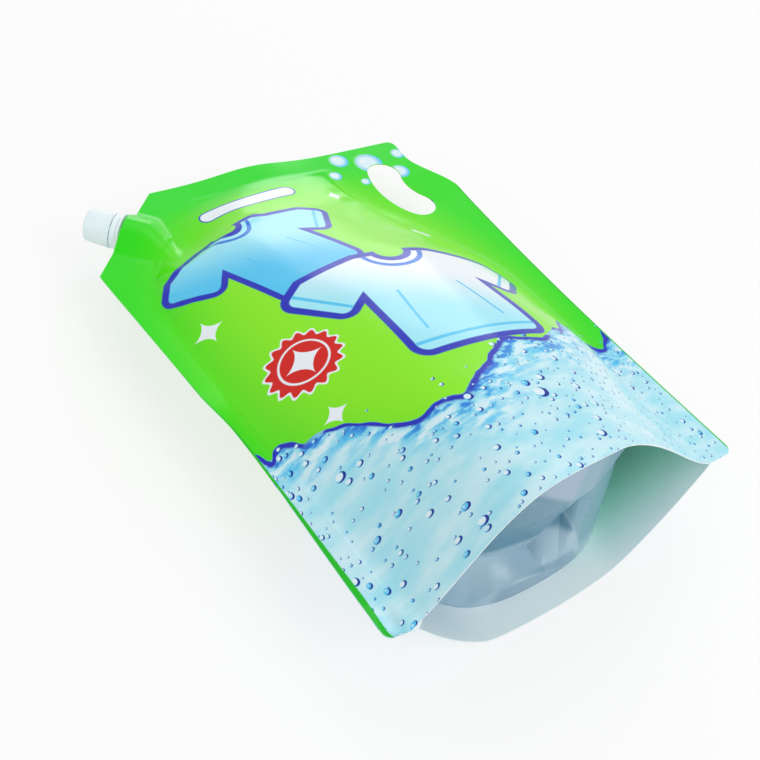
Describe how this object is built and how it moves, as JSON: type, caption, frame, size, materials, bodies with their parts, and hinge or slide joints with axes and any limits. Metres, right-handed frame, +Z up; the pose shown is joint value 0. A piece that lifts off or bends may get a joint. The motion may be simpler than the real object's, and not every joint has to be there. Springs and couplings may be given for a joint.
{
  "type": "liquid laundry detergent pack",
  "caption": "Spouted stand-up film pouch of liquid detergent lying on its back, with a handle hole, a recessed foot gusset and a screw cap that turns and lifts off its neck.",
  "frame": {"origin": "on the flat patch of the back panel that the pack lies on, on the pouch's middle line and midway up its film", "axes": "+X across the pack towards the handle side, +Y from the foot to the top, +Z up out of the printed front panel"},
  "size_m": [0.2307, 0.3, 0.1128],
  "materials": {
    "printed_film": "glossy printed laminate film, lime and green above, water blue at the foot",
    "spout_plastic": "natural white moulded polyethylene",
    "cap_plastic": "white moulded polyethylene, faintly blue, satin"
  },
  "bodies": {
    "pouch": {"pouch": "printed_film", "spout": "spout_plastic"},
    "tamper_band": {"tamper_band": "cap_plastic"},
    "cap": {"cap": "cap_plastic"}
  },
  "joints": [
    {"name": "cap_turn", "type": "hinge", "parent": "pouch", "child": "tamper_band", "pos_m": [-0.09088, 0.12291, 0.032], "axis": [-0.7255, 0.6882, 0], "range_deg": [0, 540]},
    {"name": "cap_lift", "type": "slide", "parent": "tamper_band", "child": "cap", "axis": [-0.7255, 0.6882, 0], "range_m": [0, 0.0045]}
  ],
  "couplings": [
    {"joint": "cap_lift", "follows": "cap_turn", "m_per_rad": 0.000477}
  ]
}
